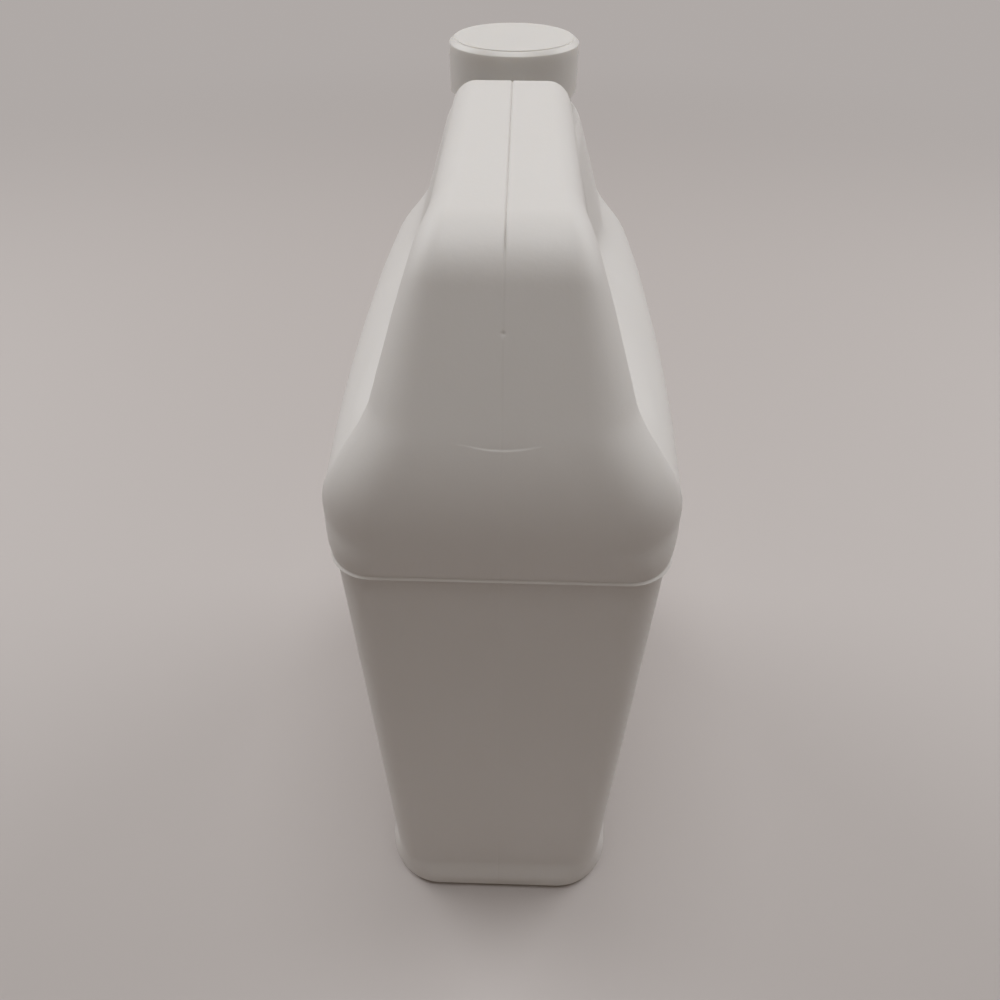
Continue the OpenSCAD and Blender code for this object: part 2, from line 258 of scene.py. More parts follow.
def between(a, b, count):
    share = np.linspace(0, 1, count + 2)[1:-1, None]
    return np.asarray(a) + share * (np.asarray(b) - np.asarray(a))


def body_row(z, inset, edge, along):
    depths = edge_depths(float(rim_r(np.asarray(z), inset)), edge)
    low, high = float(near_y(z, inset)), float(far_y(z, inset))
    ys = np.concatenate([
        low + depths,
        np.linspace(low + depths[-1], high - depths[-1], along + 2)[1:-1],
        high - depths[::-1],
    ])
    return np.stack([ys, np.full_like(ys, z)], -1)


def grid_faces(index, wrap=False):
    ring = np.concatenate([index, index[:1]]) if wrap else index
    corners = [ring[:-1, :-1], ring[1:, :-1], ring[1:, 1:], ring[:-1, 1:]]
    return np.stack(corners, -1).reshape(-1, 4)


# Points closer than this are one point, and edges shorter than a sliver go (in metres)
MERGE = 1e-7
SLIVER = 1e-8


def clean_mesh(mesh, sliver=None):
    shell = bmesh.new()
    shell.from_mesh(mesh)
    bmesh.ops.remove_doubles(shell, verts=shell.verts, dist=MERGE)
    if sliver:
        bmesh.ops.dissolve_degenerate(shell, edges=shell.edges, dist=sliver)
    bmesh.ops.recalc_face_normals(shell, faces=shell.faces)
    shell.to_mesh(mesh)
    shell.free()


def new_piece(name, points, faces):
    mesh = bpy.data.meshes.new(name)
    mesh.from_pydata([tuple(p) for p in points], [], [list(f) for f in faces])
    clean_mesh(mesh, SLIVER)
    piece = bpy.data.objects.new(name, mesh)
    scene.collection.objects.link(piece)
    return piece


# The parting line: deep along the grip, faint on the end face, fainter elsewhere
SEAM_DEPTH = 0.42
SEAM_SPREAD = 0.26
SEAM_COLUMNS = (0, 0.15, 0.32, 0.55, 0.9)
SEAM_GRIP_Z, SEAM_GRIP_FADE = 286.0, 2.0
SEAM_CREST_FADE = 3.0
SEAM_END_SHARE = 0.14
SEAM_END_Z, SEAM_END_RISE = 258.0, 6.0
SEAM_END_Y, SEAM_END_RUN = -50.0, 10.0
SEAM_REST_SHARE = 0.07


def parting_depth(y, z):
    on_bar = smooth((CREST_Y + SEAM_CREST_FADE - y) / SEAM_CREST_FADE)
    grip = smooth((z - SEAM_GRIP_Z) / SEAM_GRIP_FADE) * on_bar
    end_height = smooth((z - SEAM_END_Z) / SEAM_END_RISE)
    end_face = SEAM_END_SHARE * end_height * smooth((SEAM_END_Y - y) / SEAM_END_RUN)
    return SEAM_DEPTH * np.maximum(np.maximum(grip, end_face), SEAM_REST_SHARE)


# The faint moulded crease that sags across the end face, and the vent mark over it
SMILE_Z, SMILE_HALF, SMILE_SAG, SMILE_DEPTH = 249.6, 9.2, 1.3, 0.14
SMILE_ROWS = (-0.5, -0.25, -0.08, 0.08, 0.25, 0.5)
SMILE_START, SMILE_STEP, SMILE_FADE, SMILE_REACH = 0.1, 0.3, 4.0, 5.0
SMILE_FULL = 1.15
VENT_Z, VENT_R, VENT_DEPTH = 272.2, 0.45, 0.2
VENT_ROWS = (-0.7, -0.45, -0.25, 0, 0.25, 0.45, 0.7)
MARK_GAP = 0.2
END_FACE_Y = -60.0
# The body's rows of points end here, and the rows around the finger hole start
JOIN_Z = 219.0
JOIN_GAP = 0.2
# Rows of points close enough for the ledge's bead, from below the ledge to above it
BEAD_BELOW, BEAD_ABOVE, BEAD_ROWS = 4.0, 1.2, 33
# Rays from the finger hole cross the outline at least this squarely
LEAST_SLANT = 0.35


def body_heights(inset, edge, side, fine):
    heights = np.concatenate([
        inset + edge_depths(float(inset_r(BASE_EDGE_R, inset)), edge),
        np.linspace(BASE_BAND_H, PANEL_Z, edge + 1),
        np.linspace(PANEL_Z, LEDGE_Z - BEAD_BELOW, side + 2)[1:-1],
        np.linspace(LEDGE_Z - BEAD_BELOW, LEDGE_Z + BEAD_ABOVE, BEAD_ROWS if fine else 3),
        LEDGE_Z + edge_depths(LEDGE_ROUND_H, edge),
    ])
    return np.unique(np.round(heights[heights < JOIN_Z - JOIN_GAP], 4))


def end_heights(top, side, fine):
    heights = np.linspace(top, JOIN_Z, (3 * side if fine else side) + 2)[1:-1]
    if not fine:
        return heights
    marks = [SMILE_Z + d for d in SMILE_ROWS] + [VENT_Z + d for d in VENT_ROWS]
    clear = np.array([z for z in heights if min(abs(z - m) for m in marks) > MARK_GAP])
    return np.sort(np.concatenate([clear, marks]))[::-1]


# The closed line around the part of the side view that the finger hole pierces
def outline_loop(bottom, inset, edge, along, side, fine, corners):
    far_arc = corner_arc(corners[0], float(inset_r(FAR_R, inset)), edge + 4)
    step_arc = corner_arc(corners[1], CREST_R / 2 + inset, 6)
    crest_arc = corner_arc(corners[2], float(inset_r(CREST_R, inset)), edge)
    bend_arc = corner_arc(corners[3], float(inset_r(BEND_R, inset)), edge + 4)
    far_z = np.linspace(JOIN_Z, far_arc[0][1], side + 2)[1:-1]
    near_z = end_heights(bend_arc[-1][1], side, fine)
    return np.concatenate([
        bottom,
        np.stack([far_y(far_z, inset), far_z], -1),
        far_arc,
        between(far_arc[-1], step_arc[0], side // 2),
        step_arc,
        crest_arc,
        between(crest_arc[-1], bend_arc[0], along),
        bend_arc,
        np.stack([near_y(near_z, inset), near_z], -1),
    ])


# Rows of places from the finger hole's edge out to that line, closer where edges round
def finger_rays(loop, bottom_count, inset, edge, mid):
    middle = finger_middle(loop)
    way = unit(loop - middle)
    start = middle + way * (FINGER_R + inset)
    along_loop = unit(np.roll(loop, -1, 0) - np.roll(loop, 1, 0))
    slant = np.abs(way[:, 0] * along_loop[:, 1] - way[:, 1] * along_loop[:, 0])
    on_bottom = np.arange(len(loop)) < bottom_count
    slant = np.where(on_bottom, 1, np.maximum(LEAST_SLANT, slant))
    hole = np.tile(edge_depths(float(inset_r(FINGER_EDGE_R, inset)), edge), (len(loop), 1))
    rim = edge_depths(rim_r(loop[:, 1], inset) / slant, edge)
    reach = np.linalg.norm(loop - start, axis=-1)
    room = np.minimum(1, reach / (hole[:, -1] + rim[:, -1] + WALL))[:, None]
    low, high = hole * room, reach[:, None] - rim[:, ::-1] * room
    share = np.linspace(0, 1, mid + 2)[None, 1:-1]
    steps = np.concatenate([low, mix(low[:, -1:], high[:, :1], share), high], 1)
    return start[:, None] + way[:, None] * steps[..., None]


# Depth of the crease and the vent mark on the end face, and how far its rows sag
def end_marks(xs, ys, zs):
    on_end = (ys < END_FACE_Y) & (zs > JOIN_Z)
    across = (xs / SMILE_HALF) ** 2
    over = zs - SMILE_Z
    sag = SMILE_SAG * np.clip(1 - across, 0, 1) * np.exp(-((over / SMILE_REACH) ** 2))
    start = np.clip((over + SMILE_START) / SMILE_STEP, 0, 1)
    above = start * np.exp(-np.maximum(0, over) / SMILE_FADE)
    crease = SMILE_DEPTH * above * np.clip(SMILE_FULL - across, 0, 1)
    vent = VENT_DEPTH * np.exp(-(((zs - VENT_Z) ** 2 + xs ** 2) / VENT_R ** 2))
    return np.where(on_end, crease + vent, 0), np.where(on_end, sag, 0)


# The strip that joins the two halves along an edge, with the parting line down its middle
def seam_strip(edge_points, outer, fine):
    w, y, z = edge_points.T
    groove = SEAM_COLUMNS if fine else (0,)
    spread = np.linspace(0, 1, (13 if outer else 9) if fine else 3)[1:]
    beside = groove[-1] + (w - groove[-1])[:, None] * spread
    xs = np.concatenate([np.tile(groove, (len(w), 1)), beside], 1)
    xs = np.concatenate([-xs[:, :0:-1], xs], 1)
    ys, zs = (np.tile(a[:, None], (1, xs.shape[1])) for a in (y, z))
    if fine:
        path = np.stack([y, z], -1)
        tangent = unit(np.roll(path, -1, 0) - np.roll(path, 1, 0))
        inward = np.stack([-tangent[:, 1], tangent[:, 0]], -1) * (1 if outer else -1)
        depth = parting_depth(ys, zs) * np.exp(-((xs / SEAM_SPREAD) ** 2))
        if outer:
            marks, sag = end_marks(xs, ys, zs)
            depth = depth + marks
            ys = ys + tangent[:, :1] * sag
            zs = zs + tangent[:, 1:] * sag
        ys = ys + inward[:, :1] * depth
        zs = zs + inward[:, 1:] * depth
    return np.stack([xs, ys, zs], -1)


# The closed skin, set in from the outside. The counts are the points across a rounded
# edge, along the body, up its side, and between the finger hole and the outline
def blown_skin(name, inset, edge, along, side, mid, fine):
    corners = outline_corners(inset)
    heights = body_heights(inset, edge, side, fine)
    lower = np.stack([body_row(z, inset, edge, along) for z in heights])
    bottom = body_row(JOIN_Z, inset, edge, along)
    loop = outline_loop(bottom, inset, edge, along, side, fine, corners)
    rays = finger_rays(loop, len(bottom), inset, edge, mid)
    half = np.concatenate([
        half_points(lower, inset, corners).reshape(-1, 3),
        half_points(rays, inset, corners).reshape(-1, 3),
    ])
    count, rows, cols = len(half), len(heights), len(bottom)
    stations, deep = rays.shape[:2]
    low_index = np.arange(rows * cols).reshape(rows, cols)
    ray_index = rows * cols + np.arange(stations * deep).reshape(stations, deep)
    low_index = np.concatenate([low_index, ray_index[None, :cols, -1]])
    side_faces = np.concatenate([grid_faces(low_index), grid_faces(ray_index, wrap=True)])
    edge_loop = np.concatenate([
        low_index[0],
        low_index[1:-1, -1],
        ray_index[cols - 1:, -1],
        ray_index[:1, -1],
        low_index[1:-1, 0][::-1],
    ])
    points = [half, half * [-1, 1, 1]]
    faces = [side_faces, side_faces[:, ::-1] + count]
    total = 2 * count
    for ring, outer in ((edge_loop, True), (ray_index[:, 0], False)):
        strip = seam_strip(half[ring], outer, fine)
        index = np.arange(strip.size // 3).reshape(strip.shape[:2])
        points.append(strip.reshape(-1, 3))
        faces.append(grid_faces(total + index, wrap=True))
        total += index.size
    return new_piece(name, np.concatenate(points) * MM, np.concatenate(faces))


def turned(name, profile, y, segments=144):
    profile = np.asarray(profile, float)
    turn = np.linspace(0, 2 * math.pi, segments, endpoint=False)
    r, z = profile[:, 0], profile[:, 1]
    points = np.stack([
        np.multiply.outer(np.cos(turn), r),
        y + np.multiply.outer(np.sin(turn), r),
        np.tile(z, (segments, 1)),
    ], -1)
    index = np.arange(segments * len(r)).reshape(segments, len(r))
    return new_piece(name, points.reshape(-1, 3) * MM, grid_faces(index, wrap=True))


def rounded(middle, r, start, end, steps=8):
    turn = np.radians(np.linspace(start, end, steps + 1))
    return [(middle[0] + r * math.cos(t), middle[1] + r * math.sin(t)) for t in turn]


# Makes what a piece's modifiers give its plain mesh
def settle(piece):
    graph = bpy.context.evaluated_depsgraph_get()
    graph.update()
    mesh = bpy.data.meshes.new_from_object(piece.evaluated_get(graph))
    piece.modifiers.clear()
    old, piece.data = piece.data, mesh
    mesh.name = piece.name
    bpy.data.meshes.remove(old)
    return mesh


def combine(piece, tool, operation):
    cut = piece.modifiers.new(operation, "BOOLEAN")
    cut.operation, cut.solver, cut.object = operation, "MANIFOLD", tool
    settle(piece)
    tool_mesh = tool.data
    bpy.data.objects.remove(tool)
    bpy.data.meshes.remove(tool_mesh)


NECK_Y = 47.0
NECK_R = 17.6
BORE_R = 15.4
BORE_LOW_Z = 262.0
RIM_Z = 301.8
RIM_EDGE_R = 0.6
OVERRUN = 1.2
# The root spreads below the neck's bead, down into the shell
ROOT_LOW_Z, ROOT_LOW_R = 273.0, 23.6
ROOT_KNEE_Z, ROOT_KNEE_R = 279.0, 21.6
ROOT_FILLET = (23.6, 288.2)
ROOT_FILLET_R = 5.0
BEAD_Z, BEAD_R, BEAD_OUT = 287.95, 0.75, 0.8
BEAD_FOOT_Z, BEAD_FOOT_OUT = 287.1, 1.0
BEAD_TOP_Z = 288.9
neck_profile = (
    [(0, ROOT_LOW_Z), (ROOT_LOW_R, ROOT_LOW_Z), (ROOT_KNEE_R, ROOT_KNEE_Z)]
    + rounded(ROOT_FILLET, ROOT_FILLET_R, 232, 195)
    + [(NECK_R + BEAD_FOOT_OUT, BEAD_FOOT_Z)]
    + rounded((NECK_R + BEAD_OUT, BEAD_Z), BEAD_R, -80, 80)
    + [(NECK_R, BEAD_TOP_Z)]
    + rounded((NECK_R - RIM_EDGE_R, RIM_Z - RIM_EDGE_R), RIM_EDGE_R, 0, 90)
    + [(0, RIM_Z)]
)
bottle = blown_skin("jug_bottle", 0.0, edge=10, along=40, side=30, mid=14, fine=True)
combine(bottle, turned("neck", neck_profile, NECK_Y), "UNION")


# The neck's thread: one ridge that runs up a helix and fades out at both ends
def thread_tree():
    tree = bpy.data.node_groups.new("screw_thread", "GeometryNodeTree")
    face = tree.interface
    face.new_socket("Geometry", in_out="OUTPUT", socket_type="NodeSocketGeometry")
    for label in ("Radius", "Rise", "Turns", "Ridge"):
        face.new_socket(label, in_out="INPUT", socket_type="NodeSocketFloat")
    face.new_socket("Material", in_out="INPUT", socket_type="NodeSocketMaterial")
    nodes, link = tree.nodes, tree.links.new
    sizes = nodes.new("NodeGroupInput")
    result = nodes.new("NodeGroupOutput")
    helix = nodes.new("GeometryNodeCurveSpiral")
    helix.inputs["Resolution"].default_value = 96
    link(sizes.outputs["Radius"], helix.inputs["Start Radius"])
    link(sizes.outputs["Radius"], helix.inputs["End Radius"])
    link(sizes.outputs["Rise"], helix.inputs["Height"])
    link(sizes.outputs["Turns"], helix.inputs["Rotations"])
    place = nodes.new("GeometryNodeSplineParameter")
    fade = nodes.new("ShaderNodeFloatCurve")
    curve = fade.mapping.curves[0]
    curve.points[0].location, curve.points[1].location = (0, 0.1), (1, 0.1)
    curve.points.new(0.1, 1)
    curve.points.new(0.9, 1)
    link(place.outputs["Factor"], fade.inputs["Value"])
    ridge = nodes.new("GeometryNodeCurvePrimitiveCircle")
    ridge.inputs["Resolution"].default_value = 12
    link(sizes.outputs["Ridge"], ridge.inputs["Radius"])
    sweep = nodes.new("GeometryNodeCurveToMesh")
    sweep.inputs["Fill Caps"].default_value = True
    link(helix.outputs["Curve"], sweep.inputs["Curve"])
    link(ridge.outputs["Curve"], sweep.inputs["Profile Curve"])
    link(fade.outputs["Value"], sweep.inputs["Scale"])
    real = nodes.new("GeometryNodeRealizeInstances")
    paint = nodes.new("GeometryNodeSetMaterial")
    link(sweep.outputs["Mesh"], real.inputs["Geometry"])
    link(real.outputs["Geometry"], paint.inputs["Geometry"])
    link(sizes.outputs["Material"], paint.inputs["Material"])
    link(paint.outputs["Geometry"], result.inputs["Geometry"])
    return tree


THREAD_PITCH = 4.23
THREAD_TURNS = 1.2
THREAD_Z = 293.2
NECK_RIDGE = 1.25
NECK_RIDGE_SINK = 0.1
thread = thread_tree()


def screw_thread(name, radius, low_z, ridge, phase, material):
    piece = bpy.data.objects.new(name, bpy.data.meshes.new(name))
    scene.collection.objects.link(piece)
    grown = piece.modifiers.new("thread", "NODES")
    grown.node_group = thread
    sizes = {
        "Radius": radius * MM,
        "Rise": THREAD_PITCH * THREAD_TURNS * MM,
        "Turns": THREAD_TURNS,
        "Ridge": ridge * MM,
        "Material": material,
    }
    for socket in thread.interface.items_tree:
        if socket.in_out == "INPUT":
            grown[socket.identifier] = sizes[socket.name]
    mesh = settle(piece)
    lift = Matrix.Translation(Vector((0, NECK_Y, low_z)) * MM)
    mesh.transform(lift @ Matrix.Rotation(phase, 4, "Z"))
    clean_mesh(mesh)
    return piece


# The roughness varies from this much under its middle to this much over it
GLOSS_UNDER, GLOSS_OVER = 0.06, 0.08
PLASTIC_IOR = 1.53


# White moulded polyethylene: a waxy half-gloss, a fine grain from the mould, faint upright
# streaks where the tube was drawn, a slow drift in colour with the wall's thickness, and
# a little light that spreads inside it
def moulded_plastic(name, pale, deep, gloss, streaks, glow, glow_depth):
    material = bpy.data.materials.new(name)
    material.use_nodes = True
    tree = material.node_tree
    shader = tree.nodes["Principled BSDF"]
    link = tree.links.new
    place = tree.nodes.new("ShaderNodeTexCoord")

    def noise(scale, detail, stretch=(1, 1, 1)):
        turn = tree.nodes.new("ShaderNodeMapping")
        turn.inputs["Scale"].default_value = stretch
        link(place.outputs["Object"], turn.inputs["Vector"])
        field = tree.nodes.new("ShaderNodeTexNoise")
        field.inputs["Scale"].default_value = scale
        field.inputs["Detail"].default_value = detail
        link(turn.outputs["Vector"], field.inputs["Vector"])
        return field.outputs["Fac"]

    def relief(strength, distance, height):
        bump = tree.nodes.new("ShaderNodeBump")
        bump.inputs["Strength"].default_value = strength
        bump.inputs["Distance"].default_value = distance * MM
        link(height, bump.inputs["Height"])
        return bump

    drift = tree.nodes.new("ShaderNodeMix")
    drift.data_type = "RGBA"
    drift.inputs[6].default_value = (*deep, 1)
    drift.inputs[7].default_value = (*pale, 1)
    link(noise(scale=16, detail=3), drift.inputs[0])
    link(drift.outputs[2], shader.inputs["Base Color"])
    sheen = tree.nodes.new("ShaderNodeMapRange")
    sheen.inputs["To Min"].default_value = gloss - GLOSS_UNDER
    sheen.inputs["To Max"].default_value = gloss + GLOSS_OVER
    link(noise(scale=45, detail=5), sheen.inputs["Value"])
    link(sheen.outputs["Result"], shader.inputs["Roughness"])
    drawn = noise(scale=60, detail=3, stretch=(1, 1, 0.06))
    streak = relief(strength=streaks, distance=0.6, height=drawn)
    grain = relief(strength=0.1, distance=0.2, height=noise(scale=1100, detail=2))
    link(streak.outputs["Normal"], grain.inputs["Normal"])
    link(grain.outputs["Normal"], shader.inputs["Normal"])
    shader.inputs["Subsurface Weight"].default_value = glow
    shader.inputs["Subsurface Radius"].default_value = (1.0, 0.9, 0.75)
    shader.inputs["Subsurface Scale"].default_value = glow_depth * MM
    shader.inputs["IOR"].default_value = PLASTIC_IOR
    return material


# Painted shade in the parting line's groove, a darker colour standing in for the shadow there:
# dark along the grip, faint on the end face
SEAM_SHADE = (0.675, 0.65, 0.625)
SHADE_HALF = 0.22
SHADE_GRIP_Z, SHADE_FADE = 287.0, 3.0
SHADE_END_Z, SHADE_END_FADE = 255.0, 6.0
SHADE_END_SHARE = 0.25


def shaded_seam(material):
    tree = material.node_tree
    link = tree.links.new
    shader = tree.nodes["Principled BSDF"]
    unshaded = shader.inputs["Base Color"].links[0].from_socket
    place = tree.nodes.new("ShaderNodeTexCoord")
    axes = tree.nodes.new("ShaderNodeSeparateXYZ")
    link(place.outputs["Object"], axes.inputs["Vector"])

    def fade(value, start, end, low, high):
        ramp = tree.nodes.new("ShaderNodeMapRange")
        ends = {"From Min": start * MM, "From Max": end * MM, "To Min": low, "To Max": high}
        for label, number in ends.items():
            ramp.inputs[label].default_value = number
        link(value, ramp.inputs["Value"])
        return ramp.outputs["Result"]

    def product(first, second):
        node = tree.nodes.new("ShaderNodeMath")
        node.operation = "MULTIPLY"
        link(first, node.inputs[0])
        link(second, node.inputs[1])
        return node.outputs["Value"]

    off_seam = tree.nodes.new("ShaderNodeMath")
    off_seam.operation = "ABSOLUTE"
    link(axes.outputs["X"], off_seam.inputs[0])
    in_seam = fade(off_seam.outputs["Value"], SHADE_HALF, 2 * SHADE_HALF, 1, 0)
    grip = fade(axes.outputs["Z"], SHADE_GRIP_Z - SHADE_FADE, SHADE_GRIP_Z, SHADE_END_SHARE, 1)
    end = fade(axes.outputs["Z"], SHADE_END_Z, SHADE_END_Z + SHADE_END_FADE, 0, 1)
    handle = fade(axes.outputs["Y"], CREST_Y, CREST_Y + SHADE_FADE, 1, 0)
    # Mixes the painted groove shade into the plastic's own colour
    shaded = tree.nodes.new("ShaderNodeMix")
    shaded.data_type = "RGBA"
    shaded.inputs[7].default_value = (*SEAM_SHADE, 1)
    link(product(product(in_seam, grip), product(end, handle)), shaded.inputs[0])
    link(unshaded, shaded.inputs[6])
    link(shaded.outputs[2], shader.inputs["Base Color"])


bottle_white = moulded_plastic(
    "blown_white",
    pale=(0.755, 0.735, 0.715),
    deep=(0.715, 0.692, 0.668),
    gloss=0.52,
    streaks=0.25,
    glow=0.12,
    glow_depth=3.0,
)
# Painted shade that darkens the parting line's groove
shaded_seam(bottle_white)
neck_thread = screw_thread(
    "neck_thread", NECK_R - NECK_RIDGE_SINK, THREAD_Z, NECK_RIDGE, 0.0, bottle_white
)
combine(bottle, neck_thread, "UNION")

# The shallow hollow that the mould leaves inside the foot, and the rise over it inside:
# how far its edge draws in, and how high, at each step
HOLLOW_HALF_X = 34.5
HOLLOW_HALF_Y = 84.0
HOLLOW_STEPS = ((0, -1), (0, 0), (0.4, 1.2), (1.2, 2.2), (2.6, 2.8), (5, 3))
HOLLOW_TURN = 7.5


def base_hollow(name, inset):
    turn = np.radians(np.arange(0, 360, HOLLOW_TURN) + HOLLOW_TURN / 2)
    way = np.stack([np.cos(turn), np.sin(turn)], -1)
    middle = np.sign(way) * [HOLLOW_HALF_X - CORNER_R, HOLLOW_HALF_Y - CORNER_R]
    rings = [
        np.column_stack([
            middle + way * (CORNER_R + inset - draw),
            np.full(len(turn), z + (inset if z > 0 else 0)),
        ])
        for draw, z in HOLLOW_STEPS
    ]
    index = np.arange(len(rings) * len(turn)).reshape(len(rings), len(turn))
    faces = grid_faces(index.T, wrap=True).tolist() + [index[0].tolist(), index[-1].tolist()]
    return new_piece(name, np.concatenate(rings) * MM, faces)


def inner_skin(name, inset):
    return blown_skin(name, inset, edge=7, along=30, side=20, mid=10, fine=False)


bore_top_z = RIM_Z + OVERRUN
bore_profile = [(0, BORE_LOW_Z), (BORE_R, BORE_LOW_Z), (BORE_R, bore_top_z), (0, bore_top_z)]
inside = inner_skin("inside", WALL)
combine(inside, base_hollow("rise", WALL), "DIFFERENCE")
combine(bottle, inside, "DIFFERENCE")
combine(bottle, base_hollow("hollow", 0), "DIFFERENCE")
combine(bottle, turned("bore", bore_profile, NECK_Y), "DIFFERENCE")


def finish_mesh(piece, material, crease):
    mesh = piece.data
    mesh.materials.clear()
    mesh.materials.append(material)
    mesh.polygons.foreach_set("material_index", np.zeros(len(mesh.polygons), np.int32))
    mesh.shade_smooth()
    mesh.set_sharp_from_angle(angle=math.radians(crease))


finish_mesh(bottle, bottle_white, crease=40)
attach(bottle, "bottle")
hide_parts("bottle")

# ---- Adhesive ----
# Ready-mixed paste, off-white and thick, that fills the jug up to its shoulder. It lies
# against the wall with a hair of room, and its top is level.
FILL_Z = 238.0
FILL_GAP = 0.4
PASTE_DEEP = (0.74, 0.69, 0.57, 1)
PASTE_PALE = (0.82, 0.78, 0.67, 1)
# A block that takes off what lies over the level
LEVEL_X, LEVEL_Y, LEVEL_Z = (-60, 60), (-110, 110), (FILL_Z, 310)
paste = inner_skin("paste", WALL + FILL_GAP)
level = new_piece(
    "level",
    np.array([(x, y, z) for z in LEVEL_Z for x in LEVEL_X for y in LEVEL_Y]) * MM,
    [(0, 1, 3, 2), (4, 6, 7, 5), (0, 4, 5, 1), (2, 3, 7, 6), (0, 2, 6, 4), (1, 5, 7, 3)],
)
combine(paste, level, "DIFFERENCE")
combine(paste, base_hollow("paste_rise", WALL + FILL_GAP), "DIFFERENCE")
paste_cream = bpy.data.materials.new("paste_cream")
paste_cream.use_nodes = True
paste_tree = paste_cream.node_tree
paste_link = paste_tree.links.new
paste_shader = paste_tree.nodes["Principled BSDF"]
paste_shader.inputs["Roughness"].default_value = 0.3
paste_place = paste_tree.nodes.new("ShaderNodeTexCoord")
paste_lumps = paste_tree.nodes.new("ShaderNodeTexNoise")
paste_lumps.inputs["Scale"].default_value = 70
paste_tint = paste_tree.nodes.new("ShaderNodeMix")
paste_tint.data_type = "RGBA"
paste_tint.inputs[6].default_value = PASTE_DEEP
paste_tint.inputs[7].default_value = PASTE_PALE
paste_link(paste_place.outputs["Object"], paste_lumps.inputs["Vector"])
paste_link(paste_lumps.outputs["Fac"], paste_tint.inputs[0])
paste_link(paste_tint.outputs[2], paste_shader.inputs["Base Color"])
finish_mesh(paste, paste_cream, crease=40)
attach(paste, "bottle")
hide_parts("adhesive")

# ---- Cap liner ----
# A disc of foamed polyethylene, cut from sheet, that lies loose under the cap's top and
# seals on the neck's rim.
LINER_WHITE = (0.68, 0.68, 0.66, 1)
LINER_CELL_DEPTH = 0.1
liner_foam = bpy.data.materials.new("liner_foam")
liner_foam.use_nodes = True
liner_tree = liner_foam.node_tree
liner_link = liner_tree.links.new
liner_shader = liner_tree.nodes["Principled BSDF"]
liner_shader.inputs["Base Color"].default_value = LINER_WHITE
liner_shader.inputs["Roughness"].default_value = 0.8
liner_place = liner_tree.nodes.new("ShaderNodeTexCoord")
liner_cells = liner_tree.nodes.new("ShaderNodeTexVoronoi")
liner_cells.inputs["Scale"].default_value = 2500
liner_bump = liner_tree.nodes.new("ShaderNodeBump")
liner_bump.inputs["Distance"].default_value = LINER_CELL_DEPTH * MM
liner_bump.inputs["Strength"].default_value = 0.4
liner_link(liner_place.outputs["Object"], liner_cells.inputs["Vector"])
liner_link(liner_cells.outputs["Distance"], liner_bump.inputs["Height"])
liner_link(liner_bump.outputs["Normal"], liner_shader.inputs["Normal"])
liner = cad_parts["cap_liner"]
liner.data.materials.clear()
liner.data.materials.append(liner_foam)

# ---- Cap ----
# An injection-moulded screw cap of white polyethylene with a smooth skirt. Its flat top
# stands a hair proud of the sloping rim around it, and a thread runs inside the skirt.
CAP_R = 20.5
CAP_BORE = 19.0
CAP_TOP = 305.05
CAP_CEILING = 303.1
CAP_CEILING_R = 0.8
CAP_FOOT = 290.1
CAP_FOOT_R = 0.35
CAP_MOUTH_R = 0.25
CAP_SKIRT_MID = CAP_FOOT + 6
# The top's disc, the fine step around it and the slope out to the skirt
CAP_DISC_R = 18.7
CAP_DISC_EDGE_R = 0.15
CAP_DISC_FLAT = 0.8
CAP_STEP = 0.32
CAP_STEP_W = 0.3
CAP_GROOVE = 0.1
CAP_RIM_R = 0.4
CAP_SKIRT_R = 0.5
CAP_SLOPE_H = 1.6
# The thread inside: its ridge runs between the turns of the neck's, with a little play
CAP_RIDGE = 1.0
CAP_RIDGE_SINK = 0.05
THREAD_PLAY = 0.7
cap_profile = (
    [(0, CAP_TOP), (CAP_DISC_R - CAP_DISC_FLAT, CAP_TOP)]
    + rounded(
        (CAP_DISC_R - CAP_DISC_EDGE_R, CAP_TOP - CAP_DISC_EDGE_R), CAP_DISC_EDGE_R, 90, 0, 4
    )
    + [
        (CAP_DISC_R, CAP_TOP - CAP_STEP - CAP_GROOVE),
        (CAP_DISC_R + CAP_STEP_W / 2, CAP_TOP - CAP_STEP - CAP_GROOVE),
    ]
    + rounded((CAP_DISC_R + CAP_STEP_W, CAP_TOP - CAP_STEP - CAP_RIM_R), CAP_RIM_R, 90, 45, 4)
    + rounded((CAP_R - CAP_SKIRT_R, CAP_TOP - CAP_SLOPE_H), CAP_SKIRT_R, 45, 0, 6)
    + [(CAP_R, CAP_SKIRT_MID)]
    + rounded((CAP_R - CAP_FOOT_R, CAP_FOOT + CAP_FOOT_R), CAP_FOOT_R, 0, -90, 4)
    + rounded((CAP_BORE + CAP_MOUTH_R, CAP_FOOT + CAP_MOUTH_R), CAP_MOUTH_R, -90, -180, 3)
    + [(CAP_BORE, CAP_CEILING - CAP_CEILING_R)]
    + rounded((CAP_BORE - CAP_CEILING_R, CAP_CEILING - CAP_CEILING_R), CAP_CEILING_R, 0, 90, 4)
    + [(0, CAP_CEILING)]
)
cap_white = moulded_plastic(
    "cap_white",
    pale=(0.78, 0.755, 0.72),
    deep=(0.745, 0.72, 0.685),
    gloss=0.36,
    streaks=0.05,
    glow=0.4,
    glow_depth=6.0,
)
cap = turned("jug_cap", cap_profile, NECK_Y)
cap_thread = screw_thread(
    "cap_thread",
    CAP_BORE + CAP_RIDGE_SINK,
    THREAD_Z - THREAD_PITCH / 2 + THREAD_PLAY,
    CAP_RIDGE,
    THREAD_PLAY / THREAD_PITCH * 2 * math.pi,
    cap_white,
)
combine(cap, cap_thread, "UNION")
finish_mesh(cap, cap_white, crease=35)
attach(cap, "cap")
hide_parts("cap")

